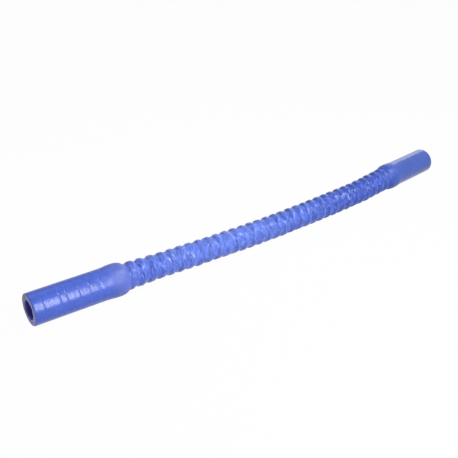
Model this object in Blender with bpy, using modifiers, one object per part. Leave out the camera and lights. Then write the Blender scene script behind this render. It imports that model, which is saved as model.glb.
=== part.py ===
# Flexible silicone coolant hose: a helically ribbed middle with a plain cuff moulded on at each end.
# It is modelled straight along X, from the near mouth at 0, and then laid along a gentle bend.
import math

import bmesh
import bpy
from mathutils import Vector

NAME = "silicone_hose"

# Bore and walls, metres
BORE_DIAMETER = 0.016
NEAR_CUFF_WALL = 0.006
FAR_CUFF_WALL = 0.0054
FLEX_WALL = 0.0034  # from the bore to the top of a rib, where it leaves the near cuff
RIB_HEIGHT = 0.0014
RIB_GROWTH = 0.0009  # how much higher the ribs are by the far cuff

# Lengths along the hose, metres
NEAR_CUFF_LENGTH = 0.0885
FAR_CUFF_LENGTH = 0.080
FLEX_LENGTH = 0.3315
RIB_PITCH = 0.01015
RIB_FLANK = 0.4  # share of the pitch that each flank of a rib takes
CORE_INSET = 0.021  # how far inside the near cuff the rib starts

# Collar, shoulder and lips of a cuff, metres
COLLAR_HEIGHT = 0.00065
COLLAR_RISE = 0.010
COLLAR_LENGTH = 0.002
SHOULDER_LENGTH = 0.0105
SHOULDER_POWER = 2.4  # higher keeps the collar full for longer and ends it more steeply
LIP_RADIUS = 0.0008
MOUTH_FLARE = 0.0012

# The first ribs after the near cuff stand over the ends of its plies
SWELL_HEIGHT = 0.0009
SWELL_TURNS = 4

# How the hose lies: an even bend sideways and more of it by the far cuff, and a sag from each cuff to the floor
FLEX_BEND = math.radians(6.8)
FAR_BEND = math.radians(2.7)
FAR_BEND_LENGTH = 0.060
NEAR_SAG_LENGTH = 0.180
FAR_SAG_LENGTH = 0.055

# Facets
CORE_SIDES = 24
CUFF_SIDES = 30
BORE_SIDES = 22
RIB_ROWS = 5
SHOULDER_ROWS = 6
ARC_ROWS = 3
BORE_ROW_SPACING = 0.020

# Overlaps of the solids that are joined, metres
FOOT_SINK = 0.0004
CUTTER_OVERRUN = 0.004
STATION_SPACING = 0.001
WELD_DISTANCE = 0.00002
SLIVER_DISTANCE = 0.00005

BORE_RADIUS = BORE_DIAMETER / 2
NEAR_CUFF_RADIUS = BORE_RADIUS + NEAR_CUFF_WALL
FAR_CUFF_RADIUS = BORE_RADIUS + FAR_CUFF_WALL
CREST_RADIUS = BORE_RADIUS + FLEX_WALL
NOTCH_RADIUS = CREST_RADIUS - RIB_HEIGHT
FLEX_END = NEAR_CUFF_LENGTH + FLEX_LENGTH
HOSE_LENGTH = FLEX_END + FAR_CUFF_LENGTH


def smooth(share):
    """Eases from 0 to 1."""
    share = min(max(share, 0.0), 1.0)
    return share * share * (3 - 2 * share)


def clear_scene():
    for obj in list(bpy.data.objects):
        bpy.data.objects.remove(obj)


def new_collection(name, helpers=False):
    collection = bpy.data.collections.new(name)
    bpy.context.scene.collection.children.link(collection)
    collection.hide_render = helpers
    return collection


def add_object(name, mesh, collection):
    obj = bpy.data.objects.new(name, mesh)
    collection.objects.link(obj)
    return obj


def hide_helper(obj):
    obj.hide_render = True
    obj.display_type = "WIRE"


def evaluated_mesh(obj):
    """The object's mesh with its modifiers applied."""
    graph = bpy.context.evaluated_depsgraph_get()
    return bpy.data.meshes.new_from_object(obj.evaluated_get(graph))


def turned_mesh(name, profile, sides, advance=0.0, turns=1):
    """Turns a profile of (x, radius) points about X, advancing along X if it is a helix."""
    outline = bpy.data.meshes.new(name)
    edges = [(row, row + 1) for row in range(len(profile) - 1)]
    outline.from_pydata([(x, 0.0, radius) for x, radius in profile], edges, [])
    blank = add_object(name, outline, bpy.context.scene.collection)
    screw = blank.modifiers.new("turn", "SCREW")
    screw.axis = "X"
    screw.angle = -2 * math.pi
    screw.screw_offset = advance
    screw.iterations = turns
    screw.steps = sides
    screw.render_steps = sides
    weld = blank.modifiers.new("weld", "WELD")
    weld.merge_threshold = WELD_DISTANCE
    mesh = evaluated_mesh(blank)
    bpy.data.objects.remove(blank)
    return mesh


def face_outwards(mesh):
    bm = bmesh.new()
    bm.from_mesh(mesh)
    bmesh.ops.recalc_face_normals(bm, faces=bm.faces)
    bm.to_mesh(mesh)
    bm.free()


def rib_profile(start):
    """One pitch of the outside, from notch to notch: a round hump between round notches."""
    points = []
    for row in range(RIB_ROWS + 1):
        share = row / RIB_ROWS
        hump = smooth(min(share, 1 - share) / RIB_FLANK)
        points.append((start + RIB_PITCH * share, NOTCH_RADIUS + RIB_HEIGHT * hump))
    return points


def growth(station):
    """How much higher the ribs have become at a distance from the near mouth."""
    share = (station - NEAR_CUFF_LENGTH) / FLEX_LENGTH
    return RIB_GROWTH * min(max(share, 0.0), 1.0)


def close_end(bm, rim, x):
    """Closes an open end with a fan to a point on the axis."""
    made = bmesh.ops.extrude_edge_only(bm, edges=rim)
    tips = [item for item in made["geom"] if isinstance(item, bmesh.types.BMVert)]
    bmesh.ops.pointmerge(bm, verts=tips, merge_co=(x, 0.0, 0.0))


def ribbed_core_mesh():
    """The ribbed rod: one left-hand helical rib that starts and ends inside the cuffs."""
    start = NEAR_CUFF_LENGTH - CORE_INSET
    turns = math.ceil((FLEX_END + SHOULDER_LENGTH - start) / RIB_PITCH)
    mesh = turned_mesh("ribbed_core", rib_profile(start), CORE_SIDES, RIB_PITCH, turns)
    end = start + (turns + 1) * RIB_PITCH
    middle = (start + end) / 2
    bm = bmesh.new()
    bm.from_mesh(mesh)
    for vertex in bm.verts:
        run = (vertex.co.x - NEAR_CUFF_LENGTH) / (SWELL_TURNS * RIB_PITCH)
        radius = math.hypot(vertex.co.y, vertex.co.z)
        hump = (radius - NOTCH_RADIUS) / RIB_HEIGHT
        extra = SWELL_HEIGHT * (1 - smooth(run)) + growth(vertex.co.x) * hump
        vertex.co.y *= 1 + extra / radius
        vertex.co.z *= 1 + extra / radius
    rims = [edge for edge in bm.edges if edge.is_boundary]
    near_rim = [edge for edge in rims if edge.verts[0].co.x < middle]
    far_rim = [edge for edge in rims if edge.verts[0].co.x > middle]
    close_end(bm, near_rim, start + RIB_PITCH / 2)
    close_end(bm, far_rim, end - RIB_PITCH / 2)
    bmesh.ops.recalc_face_normals(bm, faces=bm.faces)
    bm.to_mesh(mesh)
    bm.free()
    return mesh


def cuff_profile(length, radius, foot_radius):
    """A cuff from its mouth at 0: rounded lip, plain barrel, raised collar, and a shoulder down to the ribs."""
    points = [(0.0, 0.0)]
    for row in range(ARC_ROWS + 1):
        angle = math.pi / 2 * row / ARC_ROWS
        x = LIP_RADIUS * (1 - math.cos(angle))
        points.append((x, radius - LIP_RADIUS * (1 - math.sin(angle))))
    shoulder_start = length - SHOULDER_LENGTH
    rise_end = shoulder_start - COLLAR_LENGTH
    collar_radius = radius + COLLAR_HEIGHT
    for row in range(ARC_ROWS):
        share = row / ARC_ROWS
        x = rise_end - COLLAR_RISE * (1 - share)
        points.append((x, radius + COLLAR_HEIGHT * smooth(share)))
    points.append((rise_end, collar_radius))
    for row in range(SHOULDER_ROWS + 1):
        share = row / SHOULDER_ROWS
        drop = share ** SHOULDER_POWER
        x = shoulder_start + SHOULDER_LENGTH * share
        points.append((x, collar_radius + (foot_radius - collar_radius) * drop))
    points.append((length, 0.0))
    return points


def cuff_mesh(name, length, radius, foot_radius, mouth_x, direction):
    """A solid cuff with its mouth at mouth_x, running in the given direction along X."""
    profile = cuff_profile(length, radius, foot_radius)
    placed = [(mouth_x + direction * x, r) for x, r in profile]
    mesh = turned_mesh(name, placed, CUFF_SIDES)
    face_outwards(mesh)
    return mesh


def bore_mesh():
    """The cutter for the bore: plain through the hose, and flared where it leaves each mouth."""
    flare = []
    for row in range(2 * ARC_ROWS + 1):
        share = row / ARC_ROWS
        opening = (2 - share) ** 2 / 2
        flare.append((MOUTH_FLARE * (share - 1), BORE_RADIUS + MOUTH_FLARE * opening))
    rows = math.ceil(FLEX_LENGTH / BORE_ROW_SPACING)
    middle = [(NEAR_CUFF_LENGTH + FLEX_LENGTH * row / rows, BORE_RADIUS) for row in range(rows + 1)]
    outer_radius = flare[0][1]
    profile = [(-CUTTER_OVERRUN, 0.0), (-CUTTER_OVERRUN, outer_radius)] + flare + middle
    profile += [(HOSE_LENGTH - x, radius) for x, radius in reversed(flare)]
    profile += [(HOSE_LENGTH + CUTTER_OVERRUN, outer_radius), (HOSE_LENGTH + CUTTER_OVERRUN, 0.0)]
    mesh = turned_mesh("bore", profile, BORE_SIDES)
    face_outwards(mesh)
    return mesh


def drop_slivers(mesh):
    """Closes up the hair-thin triangles that a join leaves where two rows of points nearly meet."""
    bm = bmesh.new()
    bm.from_mesh(mesh)
    bmesh.ops.triangulate(bm, faces=bm.faces)
    bmesh.ops.remove_doubles(bm, verts=bm.verts, dist=SLIVER_DISTANCE)
    bmesh.ops.dissolve_degenerate(bm, edges=bm.edges, dist=SLIVER_DISTANCE)
    bmesh.ops.triangulate(bm, faces=bm.faces)
    bm.to_mesh(mesh)
    bm.free()


def straight_hose_mesh(helpers):
    """Joins the ribbed core and the two cuffs, and bores the hose through."""
    hose = add_object("straight_hose", ribbed_core_mesh(), helpers)
    near = cuff_mesh(
        "near_cuff",
        NEAR_CUFF_LENGTH,
        NEAR_CUFF_RADIUS,
        NOTCH_RADIUS + SWELL_HEIGHT - FOOT_SINK,
        0.0,
        1,
    )
    far = cuff_mesh(
        "far_cuff",
        FAR_CUFF_LENGTH,
        FAR_CUFF_RADIUS,
        NOTCH_RADIUS - FOOT_SINK,
        HOSE_LENGTH,
        -1,
    )
    steps = [("near_cuff", near, "UNION"), ("far_cuff", far, "UNION"), ("bore", bore_mesh(), "DIFFERENCE")]
    for name, mesh, operation in steps:
        tool = add_object(name, mesh, helpers)
        hide_helper(tool)
        join = hose.modifiers.new(name, "BOOLEAN")
        join.operation = operation
        join.solver = "EXACT"
        join.object = tool
    mesh = evaluated_mesh(hose)
    hide_helper(hose)
    drop_slivers(mesh)
    return mesh


def heading(station):
    """The sideways direction of the hose at a distance from the near mouth."""
    share = min(max((station - NEAR_CUFF_LENGTH) / FLEX_LENGTH, 0.0), 1.0)
    far_share = smooth((station - FLEX_END + FAR_BEND_LENGTH) / FAR_BEND_LENGTH)
    return FLEX_BEND * share + FAR_BEND * far_share


def axis_height(station):
    """The height of the hose's axis above the floor: each cuff lies on its lip and collar, the flex on its ribs."""
    collar_middle = SHOULDER_LENGTH + COLLAR_LENGTH / 2
    near_collar = NEAR_CUFF_LENGTH - collar_middle
    far_collar = FAR_CUFF_LENGTH - collar_middle
    near_lift = COLLAR_HEIGHT * min(station / near_collar, 1.0)
    far_lift = COLLAR_HEIGHT * min((HOSE_LENGTH - station) / far_collar, 1.0)
    near_share = smooth((station - NEAR_CUFF_LENGTH) / NEAR_SAG_LENGTH)
    far_share = smooth((station - FLEX_END + FAR_SAG_LENGTH) / FAR_SAG_LENGTH)
    near_height = (NEAR_CUFF_RADIUS + near_lift) * (1 - near_share)
    far_height = (FAR_CUFF_RADIUS + far_lift) * far_share
    flex_height = (CREST_RADIUS + growth(station)) * (near_share - far_share)
    return near_height + far_height + flex_height


def axis_stations():
    """Points on the laid axis at even distances, with both ends on a line along X."""
    count = math.ceil(HOSE_LENGTH / STATION_SPACING)
    step = HOSE_LENGTH / count
    points = [Vector((0.0, 0.0, axis_height(0.0)))]
    for index in range(count):
        angle = heading((index + 0.5) * step)
        point = points[-1] + Vector((math.cos(angle), math.sin(angle), 0.0)) * step
        point.z = axis_height((index + 1) * step)
        points.append(point)
    chord = points[-1] - points[0]
    turn = -math.atan2(chord.y, chord.x)
    laid = []
    for point in points:
        x = point.x * math.cos(turn) - point.y * math.sin(turn)
        y = point.x * math.sin(turn) + point.y * math.cos(turn)
        laid.append(Vector((x, y, point.z)))
    return laid, step


def lay_on_floor(mesh):
    """Carries each point of the straight hose to its place round the laid axis."""
    stations, step = axis_stations()
    last = len(stations) - 2
    upright = Vector((0.0, 0.0, 1.0))
    for vertex in mesh.vertices:
        along = vertex.co.x / step
        index = min(max(int(along), 0), last)
        start = stations[index]
        forward = stations[index + 1] - start
        centre = start + forward * (along - index)
        before = stations[max(index - 1, 0)]
        after = stations[min(index + 2, last + 1)]
        tangent = (after - before).normalized()
        side = upright.cross(tangent).normalized()
        top = tangent.cross(side)
        vertex.co = centre + side * vertex.co.y + top * vertex.co.z


def centre_on_origin(mesh):
    """Puts the middle of the hose's box over the origin, and its lowest point on the floor."""
    lows = [min(vertex.co[axis] for vertex in mesh.vertices) for axis in range(3)]
    highs = [max(vertex.co[axis] for vertex in mesh.vertices) for axis in range(3)]
    shift = Vector(((lows[0] + highs[0]) / 2, (lows[1] + highs[1]) / 2, lows[2]))
    for vertex in mesh.vertices:
        vertex.co -= shift


def silicone_material():
    """Blue silicone rubber with a satin cure."""
    material = bpy.data.materials.new("blue_silicone")
    material.use_nodes = True
    shader = material.node_tree.nodes["Principled BSDF"]
    shader.inputs["Base Color"].default_value = (0.055, 0.105, 0.600, 1.0)
    shader.inputs["Roughness"].default_value = 0.42
    shader.inputs["Metallic"].default_value = 0.0
    return material


def build_hose():
    clear_scene()
    hose_parts = new_collection(NAME)
    helpers = new_collection("joined_and_cut_from", helpers=True)
    mesh = straight_hose_mesh(helpers)
    lay_on_floor(mesh)
    centre_on_origin(mesh)
    mesh.name = NAME
    mesh.materials.clear()
    mesh.materials.append(silicone_material())
    mesh.shade_smooth()
    mesh.set_sharp_from_angle(angle=math.radians(50))
    return add_object(NAME, mesh, hose_parts)


build_hose()
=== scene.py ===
import math

import bmesh
import bpy
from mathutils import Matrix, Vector, noise


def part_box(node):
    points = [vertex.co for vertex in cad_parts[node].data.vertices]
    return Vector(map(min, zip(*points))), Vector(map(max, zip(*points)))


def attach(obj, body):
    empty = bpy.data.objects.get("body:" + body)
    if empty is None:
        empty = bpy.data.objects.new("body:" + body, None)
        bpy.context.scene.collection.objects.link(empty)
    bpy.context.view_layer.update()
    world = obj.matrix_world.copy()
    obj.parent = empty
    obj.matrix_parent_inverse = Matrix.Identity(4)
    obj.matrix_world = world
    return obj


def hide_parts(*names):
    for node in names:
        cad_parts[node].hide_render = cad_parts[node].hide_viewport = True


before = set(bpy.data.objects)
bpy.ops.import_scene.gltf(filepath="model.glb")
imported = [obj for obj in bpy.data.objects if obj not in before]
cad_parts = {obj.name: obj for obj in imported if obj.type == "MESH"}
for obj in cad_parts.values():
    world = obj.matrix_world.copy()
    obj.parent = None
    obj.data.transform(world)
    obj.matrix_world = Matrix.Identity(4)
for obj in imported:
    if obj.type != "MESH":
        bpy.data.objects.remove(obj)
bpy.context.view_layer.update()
print("frame loaded")


def hexColour(text):  # sRGB hex to linear RGBA
    channels = [int(text[i:i + 2], 16) / 255 for i in (1, 3, 5)]
    linear = [c / 12.92 if c <= 0.04045 else ((c + 0.055) / 1.055) ** 2.4 for c in channels]
    return (*linear, 1.0)


# one node, its values and its incoming links, by a socket's name or number
# (a Mix node's sockets are 0 for the share, 2 and 3 for two numbers, 6 and 7 for two colours)
def addNode(tree, kind, settings=None, links=None):
    node = tree.nodes.new(kind)
    for key, value in (settings or {}).items():
        if isinstance(key, str) and hasattr(node, key):
            setattr(node, key, value)
        else:
            node.inputs[key].default_value = value
    for key, source in (links or {}).items():
        tree.links.new(source, node.inputs[key])
    return node


def ease(share):  # smooth step from 0 to 1
    share = min(max(share, 0.0), 1.0)
    return share * share * (3 - 2 * share)


# the camera, fitted to the photo's outline
cameraSettings = {
    "place": (-0.44767, -0.48834, 0.35037),
    "yaw": 0.8835,  # radians from +X towards +Y
    "pitch": 0.4786,  # radians downwards
    "lens": 59.43,  # mm
    "sensor": 36.0,  # mm
    "nearClip": 0.01,
}
bpy.ops.object.camera_add(
    location=cameraSettings["place"],
    rotation=(math.pi / 2 - cameraSettings["pitch"], 0.0, cameraSettings["yaw"] - math.pi / 2),
)
camera = bpy.context.object
camera.name = "photoCamera"
camera.data.lens = cameraSettings["lens"]
camera.data.sensor_width = cameraSettings["sensor"]
camera.data.clip_start = cameraSettings["nearClip"]
bpy.context.scene.camera = camera
print("camera set")

# the hose, in metres: a station is a length along its axis from the near mouth
hoseForm = {
    # route, with the same lengths as the part's source
    "nearCuff": 0.0885,
    "flex": 0.3315,  # the ribbed middle
    "farCuff": 0.080,
    "bend": math.radians(6.8),  # spread over the middle
    "farBend": math.radians(2.7),  # a further turn, over the end of the middle
    "farBendLength": 0.060,
    "nearSag": 0.180,  # the middle comes down on its ribs over this length from the near cuff
    "farSag": 0.055,
    "step": 0.001,  # between the points of the axis
    "ringSpacing": 0.0125,  # of points along the hose
    # cuffs and mouths
    "nearRadius": 0.0140,
    "farRadius": 0.0134,
    "boreRadius": 0.008,
    "lip": 0.0008,  # radius of the rounded outer edge of a mouth
    "flare": 0.0012,  # the bore widens by half of this over twice this
    "collarHeight": 0.00065,
    "collarRise": 0.010,
    "collarLength": 0.002,
    "shoulder": 0.0105,
    "shoulderPower": 2.4,  # higher keeps the collar full for longer
    "footSink": 0.0004,  # how far a shoulder's foot lies below the notches
    # ribs, one left-hand helix
    "pitch": 0.01015,
    "ribStart": 0.0675,  # the first notch over the top, hidden in the near cuff
    "crestRadius": 0.0114,
    "ribHeight": 0.0014,
    "ribGrowth": 0.0009,  # how much higher the ribs are by the far cuff
    "ribFlank": 0.4,  # share of the pitch that each flank of a rib takes
    "swell": 0.0009,  # the first ribs lie over the ends of the cuff's plies
    "swellRibs": 4,
    "blend": 0.00035,  # how softly ribs run out into a shoulder
    # wrinkles of the ribs' skin
    "wrinkleDepth": 0.00062,
    "wrinkleAlong": 0.0023,  # spacing along the hose
    "wrinkleRound": 0.0058,  # and round it
    "wrinkleSeed": 1,
    "wrinkleSharp": 1.5,  # higher makes each wrinkle narrower
    "wander": 0.45,  # how far a wrinkle strays from its place, in spacings
    "wanderScale": 0.7,
    "fineShare": 0.35,  # how much of the relief the finer wrinkles make
    "fineScale": 1.7,
    "fineOffset": (7.1, 3.3, 1.9),  # keeps them apart from the coarse ones
    "lump": 0.5,  # height of the soft lumps against the wrinkles' depth
    "lumpAlong": 90,  # per metre, so about 11 mm long
    "lumpRound": 1.7,
    # marks of the wrapping tape on the cuffs
    "wrapSeams": (0.0087, 0.0232, 0.0290, 0.0402, 0.0496, 0.0592),  # stations of its edges
    "seamDepth": 0.00013,
    "seamHalf": 0.00045,  # half the width of an edge's groove
    "seamFade": (0.75, 0.6),  # its depth on average, and how much that changes round the cuff
    "seamSpread": 900,  # per metre, so that each seam fades in its own way
    "seamRound": 1.3,
    "ridge": 0.0004,  # the last turns of the tape run up onto the far collar
    "ridgePitch": 0.0044,
    "ridgeLength": 0.018,
    # rows and columns of the mesh
    "sides": 120,
    "rowsPerRib": 18,
    "ribbedReach": 0.0065,  # how far into a cuff the rows follow the rib
    "lipRows": 5,
    "faceRows": 4,
    "flareRows": 6,
    "cuffRow": 0.0016,
    "ridgeRow": 0.0008,
    "boreRow": 0.012,
    "smoothAngle": math.radians(50),
}
flexEnd = hoseForm["nearCuff"] + hoseForm["flex"]
hoseLength = flexEnd + hoseForm["farCuff"]
notchRadius = hoseForm["crestRadius"] - hoseForm["ribHeight"]
noise.seed_set(hoseForm["wrinkleSeed"])  # noise_vector would otherwise start from the clock


def flexShare(station):
    return min(max((station - hoseForm["nearCuff"]) / hoseForm["flex"], 0.0), 1.0)


def heading(station):  # sideways direction of the hose
    farShare = ease((station - flexEnd + hoseForm["farBendLength"]) / hoseForm["farBendLength"])
    return hoseForm["bend"] * flexShare(station) + hoseForm["farBend"] * farShare


def axisHeight(station):  # cuffs lie on lip and collar, the middle on its ribs
    collarMiddle = hoseForm["shoulder"] + hoseForm["collarLength"] / 2
    nearLean = min(station / (hoseForm["nearCuff"] - collarMiddle), 1.0)
    farLean = min((hoseLength - station) / (hoseForm["farCuff"] - collarMiddle), 1.0)
    nearShare = ease((station - hoseForm["nearCuff"]) / hoseForm["nearSag"])
    farShare = ease((station - flexEnd + hoseForm["farSag"]) / hoseForm["farSag"])
    nearHeight = (hoseForm["nearRadius"] + hoseForm["collarHeight"] * nearLean) * (1 - nearShare)
    farHeight = (hoseForm["farRadius"] + hoseForm["collarHeight"] * farLean) * farShare
    crestHeight = hoseForm["crestRadius"] + hoseForm["ribGrowth"] * flexShare(station)
    return nearHeight + farHeight + crestHeight * (nearShare - farShare)


def layAxis():  # evenly spaced points, both ends on a line along X
    step = hoseForm["step"]
    points = [Vector((0.0, 0.0, axisHeight(0.0)))]
    for index in range(round(hoseLength / step)):
        angle = heading((index + 0.5) * step)
        point = points[-1] + Vector((math.cos(angle), math.sin(angle), 0.0)) * step
        point.z = axisHeight((index + 1) * step)
        points.append(point)
    chord = points[-1] - points[0]
    turn = -math.atan2(chord.y, chord.x)
    cosine, sine = math.cos(turn), math.sin(turn)
    return [Vector((p.x * cosine - p.y * sine, p.x * sine + p.y * cosine, p.z)) for p in points]


axisPoints = layAxis()


def layPoint(straight):  # from the straight hose to its place round the laid axis
    along = straight.x / hoseForm["step"]
    last = len(axisPoints) - 2
    index = min(max(int(along), 0), last)
    centre = axisPoints[index] + (axisPoints[index + 1] - axisPoints[index]) * (along - index)
    tangent = (axisPoints[min(index + 2, last + 1)] - axisPoints[max(index - 1, 0)]).normalized()
    side = Vector((0.0, 0.0, 1.0)).cross(tangent).normalized()
    return centre + side * straight.y + tangent.cross(side) * straight.z


def ribRadius(station, angle):
    turn = (station - hoseForm["ribStart"]) / hoseForm["pitch"] + angle / (2 * math.pi) - 0.25
    share = turn % 1.0
    hump = ease(min(share, 1 - share) / hoseForm["ribFlank"])
    swellLength = hoseForm["swellRibs"] * hoseForm["pitch"]
    swell = hoseForm["swell"] * (1 - ease((station - hoseForm["nearCuff"]) / swellLength))
    height = hoseForm["ribHeight"] + hoseForm["ribGrowth"] * flexShare(station)
    return notchRadius + swell + height * hump


def cuffRadius(fromMouth, length, radius, footRadius):  # lip, barrel, collar and shoulder
    lip, shoulderStart = hoseForm["lip"], length - hoseForm["shoulder"]
    collarRadius = radius + hoseForm["collarHeight"]
    if fromMouth < lip:
        short = lip - fromMouth
        return radius - lip + math.sqrt(max(lip ** 2 - short ** 2, 0.0))
    if fromMouth < shoulderStart:
        risen = fromMouth - shoulderStart + hoseForm["collarLength"] + hoseForm["collarRise"]
        return radius + hoseForm["collarHeight"] * ease(risen / hoseForm["collarRise"])
    share = min((fromMouth - shoulderStart) / hoseForm["shoulder"], 1.0)
    return collarRadius + (footRadius - collarRadius) * share ** hoseForm["shoulderPower"]


def seamGroove(station, y, z):  # a shallow groove at each edge of the tape, uneven round the cuff
    depth, (mean, swing), around = 0.0, hoseForm["seamFade"], hoseForm["seamRound"]
    for seam in hoseForm["wrapSeams"]:
        near = 1 - abs(station - seam) / hoseForm["seamHalf"]
        if near > 0:
            spot = Vector((seam * hoseForm["seamSpread"], y * around, z * around))
            fade = mean + swing * noise.noise(spot)
            depth += hoseForm["seamDepth"] * near * fade
    return depth


def collarNotch(station, angle):  # between the tape's turns on the far collar
    share = (station - flexEnd) / hoseForm["ridgeLength"]
    turn = (station - flexEnd) / hoseForm["ridgePitch"] + angle / (2 * math.pi)
    wave = 0.5 - 0.5 * math.cos(2 * math.pi * turn)
    return hoseForm["ridge"] * ease(4 * share * (1 - share)) * wave


def wrinkleHeight(station, y, z):  # 0 on top of a wrinkle and -1 between them, with soft lumps added
    around, sharp = hoseForm["crestRadius"] / hoseForm["wrinkleRound"], hoseForm["wrinkleSharp"]
    spot = Vector((station / hoseForm["wrinkleAlong"], y * around, z * around))
    spot += hoseForm["wander"] * noise.noise_vector(spot * hoseForm["wanderScale"])
    fineSpot = spot * hoseForm["fineScale"] + Vector(hoseForm["fineOffset"])
    coarse = 1 - min(abs(noise.noise(spot)) * sharp, 1.0)
    fine = 1 - min(abs(noise.noise(fineSpot)) * sharp, 1.0)
    lumpRound = hoseForm["lumpRound"]
    lump = noise.noise(Vector((station * hoseForm["lumpAlong"], y * lumpRound, z * lumpRound)))
    wrinkles = (1 - hoseForm["fineShare"]) * coarse + hoseForm["fineShare"] * fine
    return wrinkles - 1.0 + hoseForm["lump"] * lump


def skinPoint(station, angle):  # its place on the straight hose, and how far into the ribbed part it is
    shoulder, blend = hoseForm["shoulder"], hoseForm["blend"]
    if station < hoseLength / 2:
        foot = notchRadius + hoseForm["swell"] - hoseForm["footSink"]
        cuff = cuffRadius(station, hoseForm["nearCuff"], hoseForm["nearRadius"], foot)
        past = station - hoseForm["nearCuff"]
    else:
        foot = notchRadius - hoseForm["footSink"]
        cuff = cuffRadius(hoseLength - station, hoseForm["farCuff"], hoseForm["farRadius"], foot)
        cuff -= collarNotch(station, angle)
        past = flexEnd - station
    y, z = math.cos(angle), math.sin(angle)
    cuff -= seamGroove(station, y, z)
    inFlex = ease((past + shoulder) / (2 * shoulder))
    radius = cuff
    if past >= -shoulder:  # the higher of cuff and rib, with a soft change from one to the other
        rib = ribRadius(station, angle)
        gap = cuff - rib
        higher = (cuff + rib + math.sqrt(gap * gap + blend ** 2)) / 2
        radius = higher - blend / 2 * math.exp(-abs(gap) / blend)
    if inFlex > 0:
        radius += inFlex * hoseForm["wrinkleDepth"] * wrinkleHeight(station, y, z)
    return Vector((station, y * radius, z * radius)), inFlex


points, ribbedShares, faces, slots = [], [], [], []
skinSlot, cutSlot, boreSlot = range(3)
sides = hoseForm["sides"]
angles = [2 * math.pi * j / sides for j in range(sides)]


def addPoint(straight, ribbed):
    points.append(straight)
    ribbedShares.append(ribbed)
    return len(points) - 1


def addFace(corners, slot):  # corners that coincide are merged, and a face with no area is dropped
    ring = [c for i, c in enumerate(corners) if c != corners[i - 1]]
    if len(set(ring)) > 2:
        faces.append(ring)
        slots.append(slot)


def outerRing(station):
    return [addPoint(*skinPoint(station, angle)) for angle in angles]


def innerRing(station, radius):
    return [addPoint(Vector((station, math.cos(a) * radius, math.sin(a) * radius)), 0.0) for a in angles]


def bridge(first, second, slot):
    for j in range(sides):
        k = (j + 1) % sides
        addFace([first[j], second[j], second[k], first[k]], slot)


def barrelStations(start, end, row, seams=()):  # even rows, with close ones at each seam
    half = hoseForm["seamHalf"]
    count = max(1, round((end - start) / row))
    rows = [start + (end - start) * i / count for i in range(count + 1)]
    for seam in seams:
        rows = [s for s in rows if abs(s - seam) > 2 * half]
        rows += [seam + half * part for part in (-1, -0.5, 0, 0.5, 1)]
    return sorted(rows)


# cuffs: the rounded lip, then rows along the barrel, counted from each mouth
lipRows = hoseForm["lipRows"]
lipStations = [hoseForm["lip"] * (1 - math.cos(math.pi / 2 * i / lipRows)) for i in range(lipRows)]
ribbedFrom = hoseForm["nearCuff"] - hoseForm["ribbedReach"]
ribbedTo = flexEnd + hoseForm["ribbedReach"]
ridgeFrom = hoseForm["farCuff"] - hoseForm["ridgeLength"]
cuffRow, ridgeRow = hoseForm["cuffRow"], hoseForm["ridgeRow"]
nearRows = lipStations + barrelStations(hoseForm["lip"], ribbedFrom, cuffRow, hoseForm["wrapSeams"])
farRows = lipStations + barrelStations(hoseForm["lip"], ridgeFrom, cuffRow)
farRows += barrelStations(ridgeFrom, hoseLength - ribbedTo, ridgeRow)[1:]
nearRings = [outerRing(s) for s in nearRows]
farRings = [outerRing(hoseLength - s) for s in reversed(farRows)]
for rings in (nearRings, farRings):
    for first, second in zip(rings, rings[1:]):
        bridge(first, second, skinSlot)

# ribbed middle: rows follow the left-hand rib, so its notches stay crisp
rowsPerRib, pitch = hoseForm["rowsPerRib"], hoseForm["pitch"]
firstTurn = math.floor((ribbedFrom - hoseForm["ribStart"]) / pitch - 0.25)
lastTurn = math.ceil((ribbedTo - hoseForm["ribStart"]) / pitch + 0.75)
snap = 0.25 * pitch / rowsPerRib  # a row within a quarter of a step of a cuff joins it
grid = {}


def gridPoint(row, j):
    turn, part = divmod(row, rowsPerRib)
    share = part / rowsPerRib
    station = hoseForm["ribStart"] + pitch * (turn + share - j / sides + 0.25)
    if station < ribbedFrom + snap:
        return nearRings[-1][j]
    if station > ribbedTo - snap:
        return farRings[0][j]
    if (row, j) not in grid:
        grid[row, j] = addPoint(*skinPoint(station, angles[j]))
    return grid[row, j]


for row in range(firstTurn * rowsPerRib, lastTurn * rowsPerRib):
    for j in range(sides):
        k = (j + 1) % sides
        back = row if k else row - rowsPerRib  # once round, the helix is a rib further on
        corners = ((row, j), (row + 1, j), (back + 1, k), (back, k))
        addFace([gridPoint(*corner) for corner in corners], skinSlot)


def flareRadius(share):  # of the bore, from the flat face (0) to its full depth (1)
    return hoseForm["boreRadius"] + hoseForm["flare"] * (1 - share) ** 2 / 2


def closeMouth(lipRing, mouth, inwards, outerRadius):  # the flat cut face, then the flare into the bore
    faceRows, flareRows = hoseForm["faceRows"], hoseForm["flareRows"]
    previous = lipRing
    for i in range(1, faceRows + 1):
        ring = innerRing(mouth, outerRadius + (flareRadius(0.0) - outerRadius) * i / faceRows)
        bridge(previous, ring, cutSlot)
        previous = ring
    for i in range(1, flareRows + 1):
        deep = hoseForm["flare"] * 2 * i / flareRows
        ring = innerRing(mouth + inwards * deep, flareRadius(i / flareRows))
        bridge(previous, ring, boreSlot)
        previous = ring
    return previous


previous = closeMouth(nearRings[0], 0.0, 1, hoseForm["nearRadius"] - hoseForm["lip"])
farBore = closeMouth(farRings[-1], hoseLength, -1, hoseForm["farRadius"] - hoseForm["lip"])
boreStart, boreEnd = 2 * hoseForm["flare"], hoseLength - 2 * hoseForm["flare"]
boreCount = round((boreEnd - boreStart) / hoseForm["boreRow"])
for i in range(1, boreCount):
    ring = innerRing(boreStart + (boreEnd - boreStart) * i / boreCount, hoseForm["boreRadius"])
    bridge(previous, ring, boreSlot)
    previous = ring
bridge(previous, farBore, boreSlot)

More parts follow.
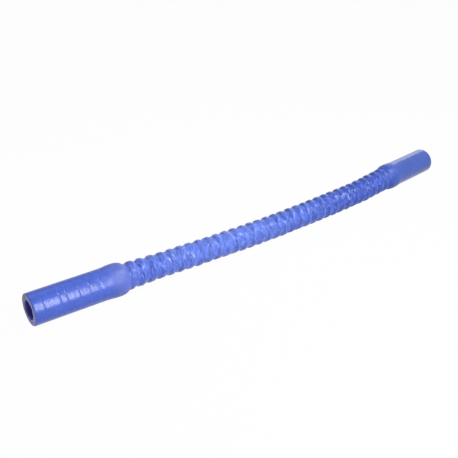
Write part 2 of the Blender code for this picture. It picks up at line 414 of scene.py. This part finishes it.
mesh = bpy.data.meshes.new("siliconeHose")
mesh.from_pydata([layPoint(p) for p in points], [], faces)
mesh.polygons.foreach_set("material_index", slots)
straightPlaces = mesh.attributes.new("straight", "FLOAT_VECTOR", "POINT")  # before the hose is laid
straightPlaces.data.foreach_set("vector", [c for p in points for c in p])
mesh.attributes.new("ribbed", "FLOAT", "POINT").data.foreach_set("value", ribbedShares)

# same place as the CAD solid: middle of the box over the origin, lowest point on the floor
lows = [min(v.co[axis] for v in mesh.vertices) for axis in range(3)]
highs = [max(v.co[axis] for v in mesh.vertices) for axis in range(3)]
cadLow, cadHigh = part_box("silicone_hose")
shift = Vector((
    (cadLow.x + cadHigh.x - lows[0] - highs[0]) / 2,
    (cadLow.y + cadHigh.y - lows[1] - highs[1]) / 2,
    cadLow.z - lows[2],
))
for vertex in mesh.vertices:
    vertex.co += shift

bm = bmesh.new()
bm.from_mesh(mesh)
bmesh.ops.recalc_face_normals(bm, faces=bm.faces)
openEdges = sum(1 for edge in bm.edges if not edge.is_manifold)
bm.to_mesh(mesh)
bm.free()
hose = bpy.data.objects.new("siliconeHose", mesh)
bpy.context.scene.collection.objects.link(hose)
bpy.ops.object.select_all(action="DESELECT")
hose.select_set(True)
bpy.context.view_layer.objects.active = hose
bpy.ops.object.shade_smooth_by_angle(angle=hoseForm["smoothAngle"])
print("hose made:", len(mesh.polygons), "faces, open edges", openEdges)

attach(hose, "root")
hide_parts("silicone_hose")

# the hose's finishes: their patterns are laid on the straight hose, so they follow its bend
hoseLook = {
    "skinColourAndShading": (  # share of the hose's length, and the skin's colour there, set lighter in the middle and darker towards the far end as painted light and shade
        (0.000, "#3E57B2"),
        (0.135, "#4159B2"),
        (0.150, "#4F60AE"),  # the near collar is greyer and paler: a painted sheen
        (0.172, "#4F60AE"),
        (0.190, "#465EB5"),
        (0.400, "#536BC0"),
        (0.600, "#465EB3"),
        (0.700, "#3750A7"),
        (0.820, "#3952AA"),
        (0.880, "#314E9F"),
        (1.000, "#314E9F"),
    ),
    "roughness": (  # share of the length, and the skin's roughness there: collars are duller
        (0.000, 0.27),
        (0.125, 0.27),
        (0.145, 0.42),
        (0.172, 0.42),
        (0.190, 0.12),
        (0.790, 0.12),
        (0.825, 0.40),
        (0.865, 0.40),
        (0.885, 0.13),
        (1.000, 0.13),
    ),
    "creaseScale": (330.0, 120.0, 120.0),  # per metre: 3 mm apart along, 8 mm long round the hose
    "creaseLightAndShade": (1.28, 0.88),  # brightness of a painted highlight on a crease's top and of painted shade beside it
    "creaseHeight": -9.0,  # how steeply it falls away from a crease
    "mottleScale": 140.0,  # patches of about 7 mm
    "streakScale": (330.0, 22.0, 22.0),  # 3 mm apart along, 45 mm long round the hose
    "streakHeight": 0.9,
    "ringPitch": 0.00155,  # fine rings that the tape's threads leave on the near collar
    "ringFrom": 0.069,
    "ringTo": 0.083,
    "ringHeight": 0.18,
    "bumpDistance": 0.0003,
    "cutLitFront": "#A8A8EC",
    "cutShadedBack": "#8F8798",
    "cutShadeFade": (-0.006, 0.010),  # from the front colour to the back one, across the hose: painted shade that darkens the back
    "cutGrain": 1800.0,  # per metre: grain of about half a millimetre
    "bore": "#4E4EB4",
}


def startMaterial(name):  # a new material, its node tree and its shader
    material = bpy.data.materials.new(name)
    material.use_nodes = True
    return material, material.node_tree, material.node_tree.nodes["Principled BSDF"]


def wrappedSilicone():  # silicone rubber cured against a wrapping tape: satin blue, crinkled on the ribs
    material, tree, shader = startMaterial("wrappedSiliconeRubber")
    shader.inputs["IOR"].default_value = 1.42
    place = addNode(tree, "ShaderNodeAttribute", {"attribute_name": "straight"})
    ribbed = addNode(tree, "ShaderNodeAttribute", {"attribute_name": "ribbed"})
    axes = addNode(tree, "ShaderNodeSeparateXYZ", {}, {0: place.outputs["Vector"]})
    along = addNode(
        tree, "ShaderNodeMath", {"operation": "DIVIDE", 1: hoseLength}, {0: axes.outputs["X"]})

    # colour and roughness by the share of the length; the colour carries painted light and shade along
    # the hose
    tint = addNode(tree, "ShaderNodeValToRGB", {}, {0: along.outputs[0]})
    gloss = addNode(tree, "ShaderNodeValToRGB", {}, {0: along.outputs[0]})
    tintStops = [(share, hexColour(colour)) for share, colour in hoseLook["skinColourAndShading"]]
    glossStops = [(share, (rough, rough, rough, 1.0)) for share, rough in hoseLook["roughness"]]
    for ramp, stops in ((tint, tintStops), (gloss, glossStops)):
        elements = ramp.color_ramp.elements  # a new ramp has one at 0 and one at 1
        elements[0].color, elements[1].color = stops[0][1], stops[-1][1]
        for share, colour in stops[1:-1]:
            elements.new(share).color = colour
    tree.links.new(gloss.outputs[0], shader.inputs["Roughness"])

    # ribs: fine raised creases, with a painted highlight along their tops and painted shade beside them
    creaseStretch = addNode(
        tree, "ShaderNodeMapping",
        {"Scale": hoseLook["creaseScale"]}, {"Vector": place.outputs["Vector"]})
    creaseNoise = addNode(
        tree, "ShaderNodeTexNoise",
        {"Scale": 1.0, "Detail": 1.0, "Distortion": 0.5}, {"Vector": creaseStretch.outputs["Vector"]})
    creaseMiddle = addNode(
        tree, "ShaderNodeMath", {"operation": "SUBTRACT", 1: 0.5}, {0: creaseNoise.outputs["Fac"]})
    creaseFold = addNode(
        tree, "ShaderNodeMath", {"operation": "ABSOLUTE"}, {0: creaseMiddle.outputs[0]})
    # painted highlight on the crease tops, painted shade beside them
    creaseHighlight, creaseShade = hoseLook["creaseLightAndShade"]
    paintedCreaseLight = addNode(
        tree, "ShaderNodeMapRange",
        {"From Min": 0.0, "From Max": 0.10, "To Min": creaseHighlight, "To Max": creaseShade},
        {"Value": creaseFold.outputs[0]})
    crease = addNode(
        tree, "ShaderNodeMix", {2: 1.0}, {0: ribbed.outputs["Fac"], 3: paintedCreaseLight.outputs[0]})
    mottle = addNode(
        tree, "ShaderNodeTexNoise",
        {"Scale": hoseLook["mottleScale"], "Detail": 3.0}, {"Vector": place.outputs["Vector"]})
    patch = addNode(
        tree, "ShaderNodeMapRange",
        {"From Min": 0.3, "From Max": 0.7, "To Min": 0.92, "To Max": 1.08},
        {"Value": mottle.outputs["Fac"]})
    value = addNode(
        tree, "ShaderNodeMath",
        {"operation": "MULTIPLY"}, {0: patch.outputs[0], 1: crease.outputs[0]})
    colour = addNode(
        tree, "ShaderNodeHueSaturation", {}, {"Value": value.outputs[0], "Color": tint.outputs[0]})
    tree.links.new(colour.outputs[0], shader.inputs["Base Color"])

    # cuffs: streaks of the tape's weave, and rings on the near collar
    streakStretch = addNode(
        tree, "ShaderNodeMapping",
        {"Scale": hoseLook["streakScale"]}, {"Vector": place.outputs["Vector"]})
    streaks = addNode(
        tree, "ShaderNodeTexNoise",
        {"Scale": 1.0, "Detail": 1.0}, {"Vector": streakStretch.outputs["Vector"]})
    ringAngle = addNode(
        tree, "ShaderNodeMath",
        {"operation": "MULTIPLY", 1: 2 * math.pi / hoseLook["ringPitch"]}, {0: axes.outputs["X"]})
    ringWave = addNode(tree, "ShaderNodeMath", {"operation": "SINE"}, {0: ringAngle.outputs[0]})
    after = addNode(
        tree, "ShaderNodeMath",
        {"operation": "GREATER_THAN", 1: hoseLook["ringFrom"]}, {0: axes.outputs["X"]})
    before = addNode(
        tree, "ShaderNodeMath",
        {"operation": "LESS_THAN", 1: hoseLook["ringTo"]}, {0: axes.outputs["X"]})
    inside = addNode(
        tree, "ShaderNodeMath",
        {"operation": "MULTIPLY"}, {0: after.outputs[0], 1: before.outputs[0]})
    rings = addNode(
        tree, "ShaderNodeMath",
        {"operation": "MULTIPLY"}, {0: ringWave.outputs[0], 1: inside.outputs[0]})
    ringHeight = addNode(
        tree, "ShaderNodeMath",
        {"operation": "MULTIPLY", 1: hoseLook["ringHeight"]}, {0: rings.outputs[0]})
    cuffHeight = addNode(
        tree, "ShaderNodeMath",
        {"operation": "MULTIPLY_ADD", 1: hoseLook["streakHeight"]},
        {0: streaks.outputs["Fac"], 2: ringHeight.outputs[0]})
    creaseHeight = addNode(
        tree, "ShaderNodeMath",
        {"operation": "MULTIPLY", 1: hoseLook["creaseHeight"]}, {0: creaseFold.outputs[0]})
    height = addNode(
        tree, "ShaderNodeMix", {},
        {0: ribbed.outputs["Fac"], 2: cuffHeight.outputs[0], 3: creaseHeight.outputs[0]})
    bump = addNode(
        tree, "ShaderNodeBump",
        {"Strength": 0.7, "Distance": hoseLook["bumpDistance"]}, {"Height": height.outputs[0]})
    tree.links.new(bump.outputs["Normal"], shader.inputs["Normal"])
    return material


def cutSilicone():  # the sawn end of the wall: matt, paler than the cured skin, with painted shade making it darker and greyer towards the back
    material, tree, shader = startMaterial("cutSiliconeRubber")
    shader.inputs["Roughness"].default_value = 0.6
    place = addNode(tree, "ShaderNodeAttribute", {"attribute_name": "straight"})
    axes = addNode(tree, "ShaderNodeSeparateXYZ", {}, {0: place.outputs["Vector"]})
    front, rear = hoseLook["cutShadeFade"]
    fade = addNode(
        tree, "ShaderNodeMapRange",
        {"From Min": front, "From Max": rear}, {"Value": axes.outputs["Y"]})
    paintedCutShade = addNode(
        tree, "ShaderNodeMix",
        {"data_type": "RGBA", 6: hexColour(hoseLook["cutLitFront"]), 7: hexColour(hoseLook["cutShadedBack"])},
        {0: fade.outputs[0]})
    tree.links.new(paintedCutShade.outputs[2], shader.inputs["Base Color"])
    grain = addNode(
        tree, "ShaderNodeTexNoise",
        {"Scale": hoseLook["cutGrain"], "Detail": 2.0}, {"Vector": place.outputs["Vector"]})
    bump = addNode(
        tree, "ShaderNodeBump",
        {"Strength": 0.4, "Distance": 0.0001}, {"Height": grain.outputs["Fac"]})
    tree.links.new(bump.outputs["Normal"], shader.inputs["Normal"])
    return material


def boreSilicone():  # the liner, moulded against a polished mandrel: dark and smooth
    material, tree, shader = startMaterial("mandrelSmoothSilicone")
    shader.inputs["Base Color"].default_value = hexColour(hoseLook["bore"])
    shader.inputs["Roughness"].default_value = 0.45
    return material


for make in (wrappedSilicone, cutSilicone, boreSilicone):  # in the order of the slots
    mesh.materials.append(make())
print("materials made")

# floor, light and world
studio = {
    "floorSize": 8.0,
    "floor": "#BEBFCA",
    "floorGlow": 0.975,  # share of plain white in the floor as seen; the rest takes the shadow
    "ambient": 0.21,
    "brightSide": (-0.45, -0.45, 0.77),  # above and by the near end
    "unevenness": 0.5,  # how much brighter that side is than the average, and the other one dimmer
    "ceiling": 0.20,  # what a reflection sees overhead
    "ceilingFrom": 0.4,  # height of a direction from which it sees only the ceiling
    "openSide": (0.3, 0.85),  # between these, towards +X, the ceiling turns white
    "spread": math.radians(130),
    "softboxes": {  # place, width and height, watts, and the point that it faces
        "key": ((-0.087, -0.624, 0.399), (0.11, 0.66), 2.8, (-0.22, 0.006, 0.014)),
        "rib": ((0.353, -0.280, 0.650), (0.09, 0.42), 2.4, (-0.05, -0.02, 0.012)),
        "fill": ((-0.20, 0.36, 0.62), (0.5, 0.4), 0.6, (0.05, 0.0, 0.012)),
        "rim": ((0.95, 0.65, 0.40), (0.5, 0.4), 0.4, (0.2, 0.0, 0.014)),
    },
}
bpy.ops.mesh.primitive_plane_add(size=studio["floorSize"], location=(0.0, 0.0, 0.0))
floor = bpy.context.object
floor.name = "studioFloor"
floorMaterial, tree, shader = startMaterial("paleFloorPaper")
shader.inputs["Base Color"].default_value = hexColour(studio["floor"])
shader.inputs["Roughness"].default_value = 0.9
shader.inputs["Specular IOR Level"].default_value = 0.0
rays = addNode(tree, "ShaderNodeLightPath")
seen = addNode(
    tree, "ShaderNodeMath", {"operation": "MAXIMUM"},
    {0: rays.outputs["Is Camera Ray"], 1: rays.outputs["Is Glossy Ray"]})
seenAlso = addNode(
    tree, "ShaderNodeMath", {"operation": "MAXIMUM"},
    {0: seen.outputs[0], 1: rays.outputs["Is Transmission Ray"]})
share = addNode(
    tree, "ShaderNodeMath",
    {"operation": "MULTIPLY", 1: studio["floorGlow"]}, {0: seenAlso.outputs[0]})
glow = addNode(tree, "ShaderNodeEmission", {"Color": (1.0, 1.0, 1.0, 1.0), "Strength": 1.0})
paper = addNode(
    tree, "ShaderNodeMixShader", {},
    {0: share.outputs[0], 1: shader.outputs[0], 2: glow.outputs[0]})
tree.links.new(paper.outputs[0], tree.nodes["Material Output"].inputs["Surface"])
floor.data.materials.append(floorMaterial)

# white where the world is seen, soft uneven light on the hose, and a dim ceiling in its gloss
world = bpy.data.worlds.new("studioWorld")
bpy.context.scene.world = world
world.use_nodes = True
tree = world.node_tree
background = tree.nodes["Background"]
background.inputs["Color"].default_value = (1.0, 1.0, 1.0, 1.0)
rays = addNode(tree, "ShaderNodeLightPath")
direct = addNode(
    tree, "ShaderNodeMath", {"operation": "MAXIMUM"},
    {0: rays.outputs["Is Camera Ray"], 1: rays.outputs["Is Transmission Ray"]})
direction = addNode(tree, "ShaderNodeTexCoord")
facing = addNode(
    tree, "ShaderNodeVectorMath",
    {"operation": "DOT_PRODUCT", 1: studio["brightSide"]}, {0: direction.outputs["Generated"]})
dim = studio["ambient"] * (1 - studio["unevenness"])
bright = studio["ambient"] * (1 + studio["unevenness"])
soft = addNode(
    tree, "ShaderNodeMapRange",
    {"From Min": -1.0, "From Max": 1.0, "To Min": dim, "To Max": bright},
    {"Value": facing.outputs["Value"]})
plain = addNode(tree, "ShaderNodeMix", {3: 1.0}, {0: direct.outputs[0], 2: soft.outputs[0]})
directionAxes = addNode(tree, "ShaderNodeSeparateXYZ", {}, {0: direction.outputs["Generated"]})
openFrom, openTo = studio["openSide"]
bySide = addNode(
    tree, "ShaderNodeMapRange",
    {"From Min": openFrom, "From Max": openTo, "To Min": studio["ceiling"], "To Max": 1.0},
    {"Value": directionAxes.outputs["X"]})
height = addNode(
    tree, "ShaderNodeMapRange",
    {"From Min": 0.0, "From Max": studio["ceilingFrom"]}, {"Value": directionAxes.outputs["Z"]})
overhead = addNode(tree, "ShaderNodeMix", {2: 1.0}, {0: height.outputs[0], 3: bySide.outputs[0]})
strength = addNode(
    tree, "ShaderNodeMix", {},
    {0: rays.outputs["Is Glossy Ray"], 2: plain.outputs[0], 3: overhead.outputs[0]})
tree.links.new(strength.outputs[0], background.inputs["Strength"])

# for the near cuff's stripe, the ribs, their flanks towards the near end, and the far cuff's upper edge
for name, (place, size, power, aim) in studio["softboxes"].items():
    bpy.ops.object.light_add(type="AREA", location=place)
    lamp = bpy.context.object
    lamp.name = name + "Softbox"
    lamp.data.shape = "RECTANGLE"
    lamp.data.size, lamp.data.size_y = size
    lamp.data.energy = power
    lamp.data.spread = studio["spread"]
    lamp.rotation_euler = (Vector(aim) - lamp.location).to_track_quat("-Z", "Y").to_euler()
bpy.context.scene.view_settings.view_transform = "Standard"
print("studio lit")
